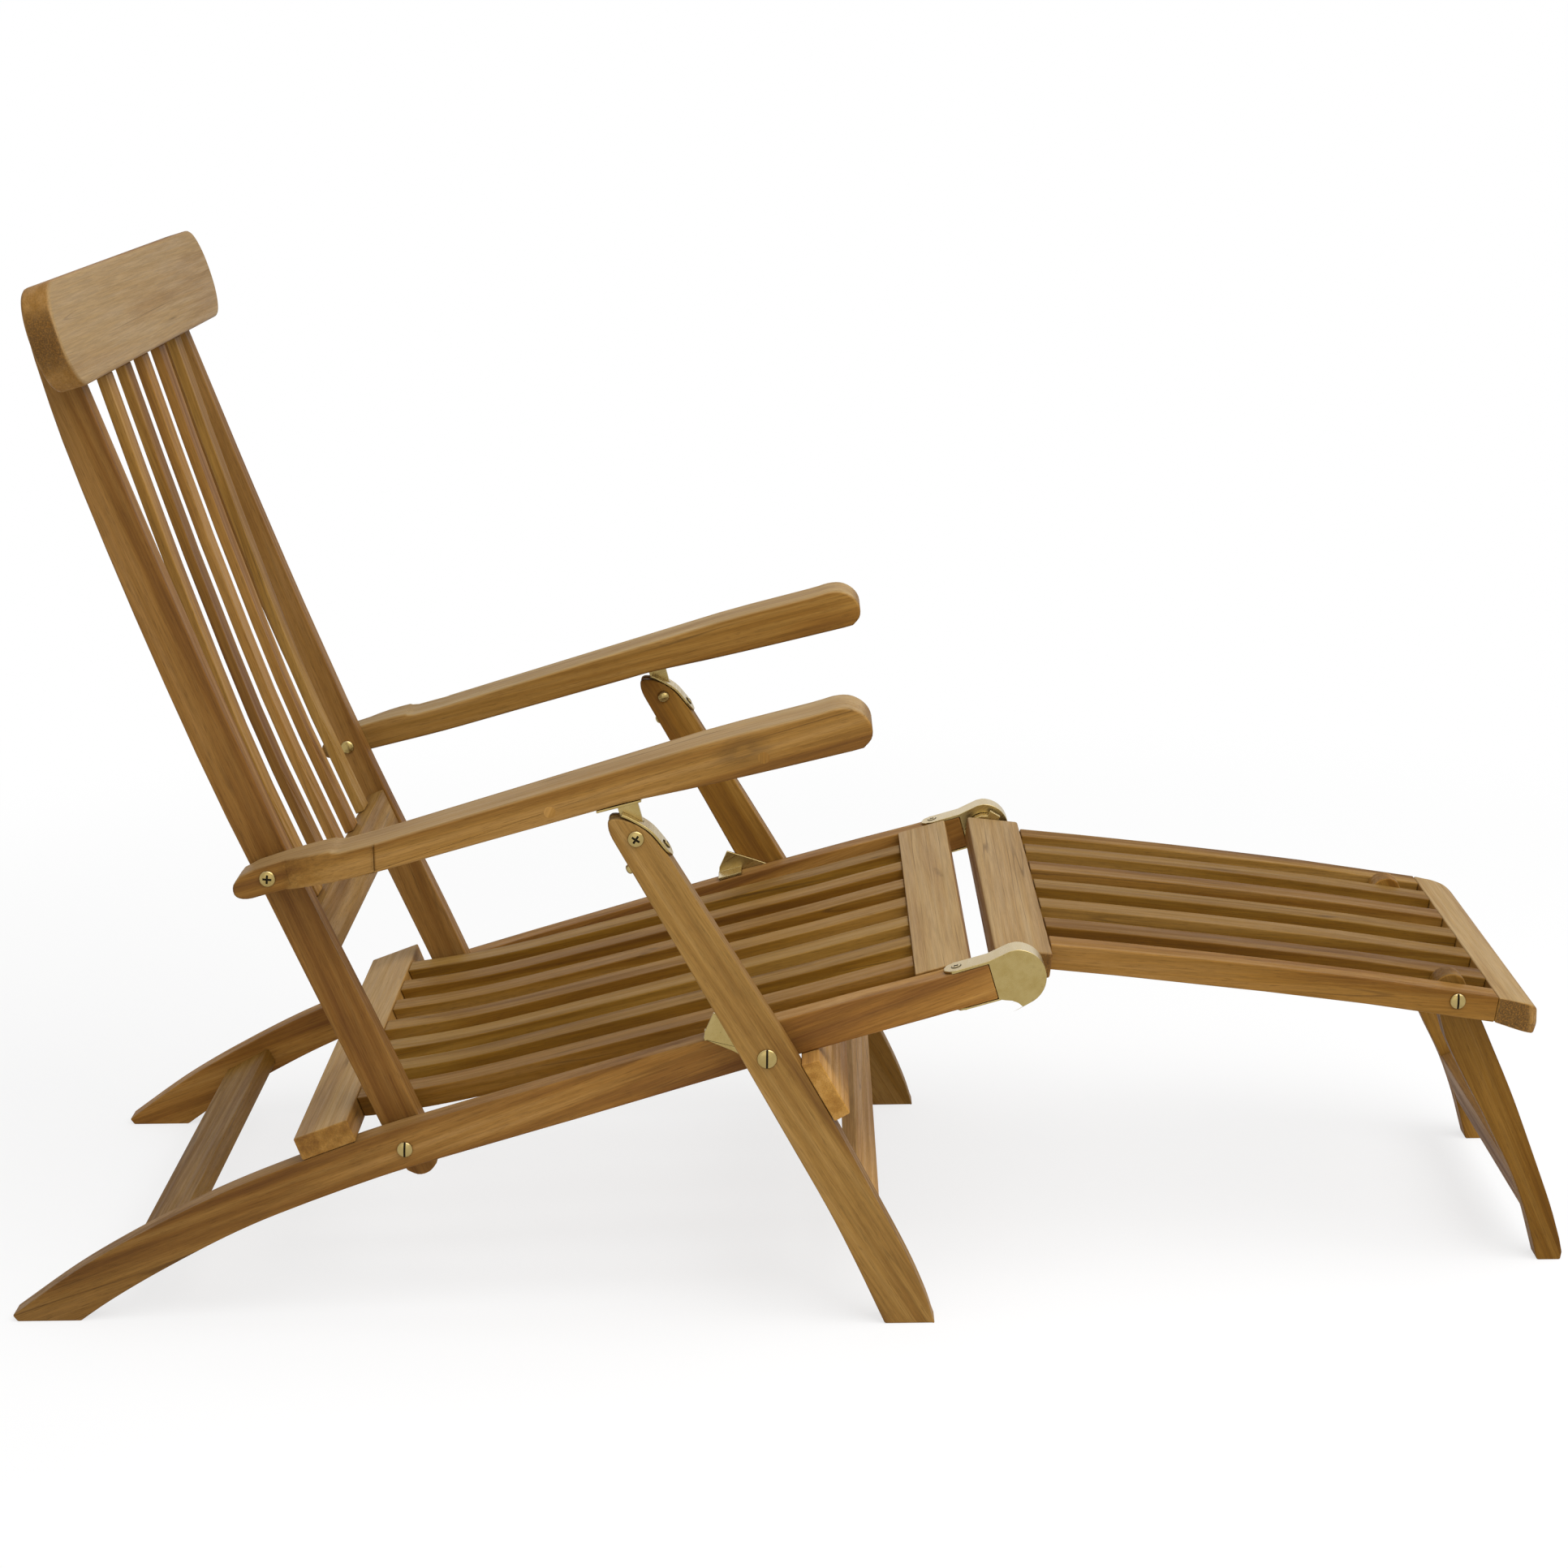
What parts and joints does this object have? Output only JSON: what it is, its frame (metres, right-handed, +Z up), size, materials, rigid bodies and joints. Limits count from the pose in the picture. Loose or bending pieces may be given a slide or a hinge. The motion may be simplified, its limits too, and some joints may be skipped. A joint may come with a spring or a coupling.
{
  "type": "steamer deck chair",
  "caption": "Folding teak steamer deck chair with slatted seat, tall slatted back, arms, drop-down leg rest and brass pivots.",
  "frame": {"origin": "on the ground, below the middle of the chair's outline", "axes": "+X from the back towards the leg rest, +Y across the chair to the sitter's left, +Z up"},
  "size_m": [1.4314, 0.669, 0.9407],
  "materials": {
    "teak": "sanded, oiled golden teak with straight brown grain",
    "brass": "lightly tarnished satin brass"
  },
  "bodies": {
    "seat_frame": {"side_rail_right": "teak", "side_rail_left": "teak", "rear_stretcher": "teak", "seat_rear_board": "teak", "seat_front_board": "teak", "seat_slat_1": "teak", "seat_slat_2": "teak", "seat_slat_3": "teak", "seat_slat_4": "teak", "seat_slat_5": "teak", "seat_slat_6": "teak", "seat_slat_7": "teak", "knee_bracket_right": "brass", "knee_bracket_left": "brass", "leg_stop_right": "brass", "leg_stop_left": "brass", "back_pivot_bolt_right": "brass", "back_pivot_bolt_left": "brass", "leg_pivot_bolt_right": "brass", "leg_pivot_bolt_left": "brass"},
    "back": {"back_stile_right": "teak", "back_stile_left": "teak", "headrest": "teak", "back_lower_board": "teak", "back_slat_1": "teak", "back_slat_2": "teak", "back_slat_3": "teak", "back_slat_4": "teak", "back_slat_5": "teak"},
    "front_legs": {"front_leg_right": "teak", "front_leg_left": "teak", "front_leg_cross_board": "teak", "front_leg_stretcher": "teak", "leg_top_strap_right": "brass", "leg_top_strap_left": "brass", "leg_top_bolt_right": "brass", "leg_top_bolt_left": "brass"},
    "arms": {"arm_right": "teak", "arm_left": "teak", "arm_plate_right": "brass", "arm_plate_left": "brass", "arm_bolt_right": "brass", "arm_bolt_left": "brass"},
    "leg_rest": {"leg_rest_knee_board": "teak", "leg_rest_rail_right": "teak", "leg_rest_rail_left": "teak", "leg_rest_slat_1": "teak", "leg_rest_slat_2": "teak", "leg_rest_slat_3": "teak", "leg_rest_slat_4": "teak", "leg_rest_slat_5": "teak", "leg_rest_end_board": "teak", "leg_rest_hinge_right": "brass", "leg_rest_hinge_left": "brass", "leg_rest_bolt_right": "brass", "leg_rest_bolt_left": "brass"},
    "leg_rest_legs": {"leg_rest_leg_right": "teak", "leg_rest_leg_left": "teak", "leg_rest_stretcher": "teak"}
  },
  "joints": [
    {"name": "back_fold", "type": "hinge", "parent": "seat_frame", "child": "back", "pos_m": [-0.35065, 0, 0.162], "axis": [0, 1, 0], "range_deg": [0, 70]},
    {"name": "front_legs_fold", "type": "hinge", "parent": "seat_frame", "child": "front_legs", "pos_m": [-0.02365, 0, 0.253], "axis": [0, 1, 0], "range_deg": [0, 87]},
    {"name": "arms_fold", "type": "hinge", "parent": "front_legs", "child": "arms", "pos_m": [-0.13365, 0, 0.455], "axis": [0, 1, 0], "range_deg": [-87, 0]},
    {"name": "leg_rest_fold", "type": "hinge", "parent": "seat_frame", "child": "leg_rest", "pos_m": [0.19835, 0, 0.315], "axis": [0, 1, 0], "range_deg": [0, 100]},
    {"name": "leg_rest_legs_fold", "type": "hinge", "parent": "leg_rest", "child": "leg_rest_legs", "pos_m": [0.60235, 0, 0.266], "axis": [0, 1, 0], "range_deg": [0, 110]}
  ],
  "couplings": [
    {"joint": "front_legs_fold", "follows": "back_fold", "ratio": 1.24},
    {"joint": "arms_fold", "follows": "back_fold", "ratio": -1.24}
  ]
}
